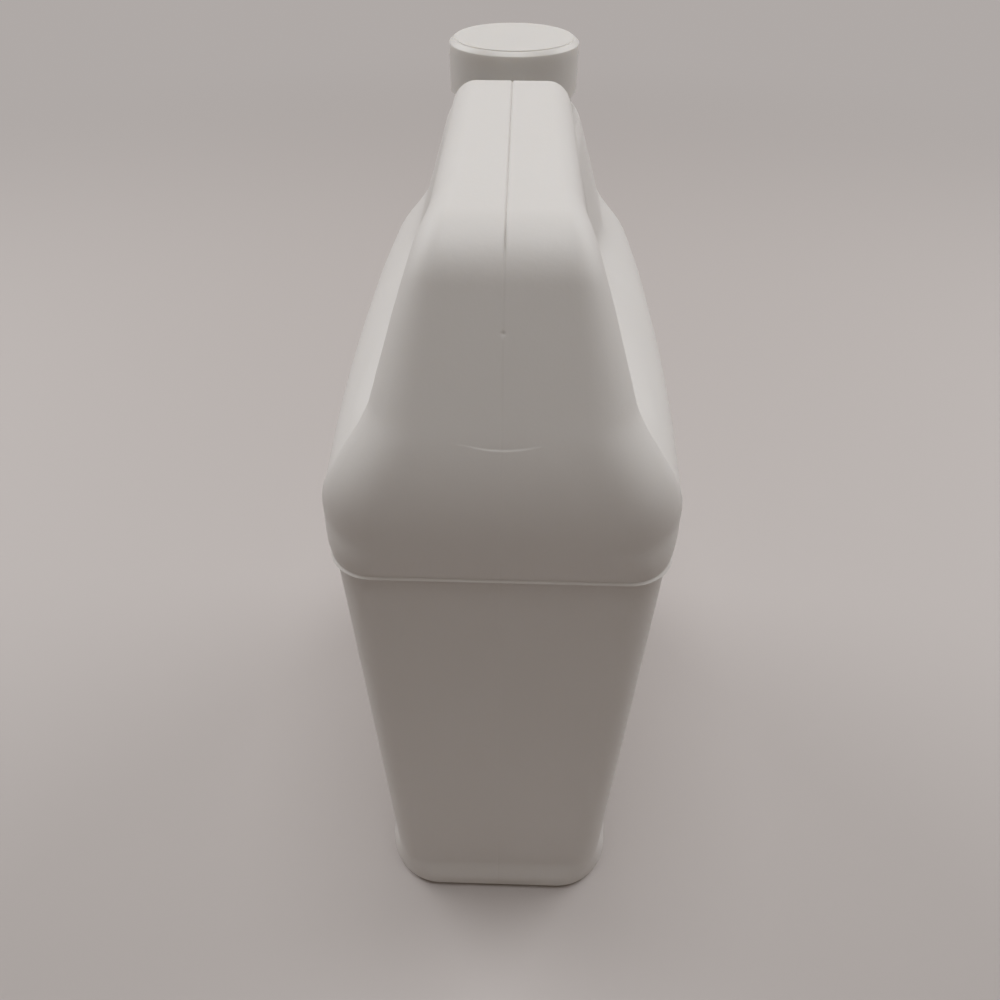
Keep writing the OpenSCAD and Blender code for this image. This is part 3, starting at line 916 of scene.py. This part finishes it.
# ---- Floor ----
# A plain pale sheet under the jug. Far from it the sheet fades into the backdrop's tone
# where the camera or a reflection meets it, and it gives no light of its own.
FLOOR_HALF = 6.0
FLOOR_PALE = (0.56, 0.52, 0.505, 1)
FADE_FROM = 0.5
FADE_TO = 1.4
BACKDROP = (0.43, 0.398, 0.384, 1)
floor = new_piece(
    "floor",
    [(x * FLOOR_HALF, y * FLOOR_HALF, 0) for x, y in ((-1, -1), (1, -1), (1, 1), (-1, 1))],
    [(0, 1, 2, 3)],
)
floor_pale = bpy.data.materials.new("floor_pale")
floor_pale.use_nodes = True
floor_tree = floor_pale.node_tree
floor_shader = floor_tree.nodes["Principled BSDF"]
floor_shader.inputs["Base Color"].default_value = FLOOR_PALE
floor_shader.inputs["Roughness"].default_value = 0.6


# One where the camera, a reflection or a view through something meets the surface
def seen_share(tree):
    ray = tree.nodes.new("ShaderNodeLightPath")
    share = ray.outputs["Is Camera Ray"]
    for kind in ("Is Glossy Ray", "Is Transmission Ray"):
        either = tree.nodes.new("ShaderNodeMath")
        either.operation = "MAXIMUM"
        tree.links.new(share, either.inputs[0])
        tree.links.new(ray.outputs[kind], either.inputs[1])
        share = either.outputs["Value"]
    return share


floor_place = floor_tree.nodes.new("ShaderNodeTexCoord")
floor_away = floor_tree.nodes.new("ShaderNodeVectorMath")
floor_away.operation = "LENGTH"
floor_fade = floor_tree.nodes.new("ShaderNodeMapRange")
floor_fade.interpolation_type = "SMOOTHSTEP"
floor_fade.inputs["From Min"].default_value = FADE_FROM
floor_fade.inputs["From Max"].default_value = FADE_TO
floor_share = floor_tree.nodes.new("ShaderNodeMath")
floor_share.operation = "MULTIPLY"
floor_tone = floor_tree.nodes.new("ShaderNodeEmission")
floor_tone.inputs["Color"].default_value = BACKDROP
floor_mix = floor_tree.nodes.new("ShaderNodeMixShader")
floor_link = floor_tree.links.new
floor_link(floor_place.outputs["Object"], floor_away.inputs[0])
floor_link(floor_away.outputs["Value"], floor_fade.inputs["Value"])
floor_link(floor_fade.outputs["Result"], floor_share.inputs[0])
floor_link(seen_share(floor_tree), floor_share.inputs[1])
floor_link(floor_share.outputs["Value"], floor_mix.inputs["Fac"])
floor_link(floor_shader.outputs["BSDF"], floor_mix.inputs[1])
floor_link(floor_tone.outputs["Emission"], floor_mix.inputs[2])
floor_link(floor_mix.outputs["Shader"], floor_tree.nodes["Material Output"].inputs["Surface"])
floor.data.materials.append(floor_pale)

# ---- Light ----
# A broad soft light overhead, one behind on each side that brightens the shelves beside
# the handle, and a faint warm sky, so that the end towards the camera lies in shade. To
# the camera and in reflections the sky is the pale backdrop that the floor fades into.
LAMP_WHITE = (0.97, 0.985, 1.0)
SKY_WARM = (1.0, 0.76, 0.54, 1)
SKY_STRENGTH = 0.1
SIDE_X, SIDE_Y, SIDE_Z = 1.25, 0.7, 1.15


def soft_light(name, place, target, size, power):
    lamp = bpy.data.lights.new(name, "AREA")
    lamp.shape, lamp.size, lamp.energy = "DISK", size, power
    lamp.color = LAMP_WHITE
    piece = bpy.data.objects.new(name, lamp)
    aim = (Vector(target) - Vector(place)).to_track_quat("-Z", "Y").to_matrix().to_4x4()
    piece.matrix_world = Matrix.Translation(place) @ aim
    scene.collection.objects.link(piece)


soft_light("overhead", (0.0, -0.12, 2.0), (0, 0.1, 0.15), size=1.15, power=16.2)
soft_light("side_left", (-SIDE_X, SIDE_Y, SIDE_Z), (0, 0, 0.15), size=1.2, power=10.3)
soft_light("side_right", (SIDE_X, SIDE_Y, SIDE_Z), (0, 0, 0.15), size=1.2, power=10.3)
world = bpy.data.worlds.new("sky")
world.use_nodes = True
sky_tree = world.node_tree
faint_sky = sky_tree.nodes["Background"]
faint_sky.inputs["Color"].default_value = SKY_WARM
faint_sky.inputs["Strength"].default_value = SKY_STRENGTH
backdrop = sky_tree.nodes.new("ShaderNodeBackground")
backdrop.inputs["Color"].default_value = BACKDROP
sky_mix = sky_tree.nodes.new("ShaderNodeMixShader")
sky_tree.links.new(seen_share(sky_tree), sky_mix.inputs["Fac"])
sky_tree.links.new(faint_sky.outputs["Background"], sky_mix.inputs[1])
sky_tree.links.new(backdrop.outputs["Background"], sky_mix.inputs[2])
sky_tree.links.new(sky_mix.outputs["Shader"], sky_tree.nodes["World Output"].inputs["Surface"])
scene.world = world
scene.view_settings.view_transform = "Standard"

# ---- Camera ----
# Close over the handle's end of the jug, looking down along it.
CAMERA_PLACE = (0.0032, -0.228, 0.361)
CAMERA_PITCH, CAMERA_YAW, CAMERA_ROLL = (math.radians(a) for a in (43.2, 1.4, 0.36))
camera_data = bpy.data.cameras.new("camera")
camera_data.sensor_width = 36
camera_data.lens = 27.36
camera_data.shift_y = 0.005
camera = bpy.data.objects.new("camera", camera_data)
camera.matrix_world = (
    Matrix.Translation(CAMERA_PLACE)
    @ Matrix.Rotation(CAMERA_YAW, 4, "Z")
    @ Matrix.Rotation(math.pi / 2 - CAMERA_PITCH, 4, "X")
    @ Matrix.Rotation(CAMERA_ROLL, 4, "Z")
)
scene.collection.objects.link(camera)
scene.camera = camera
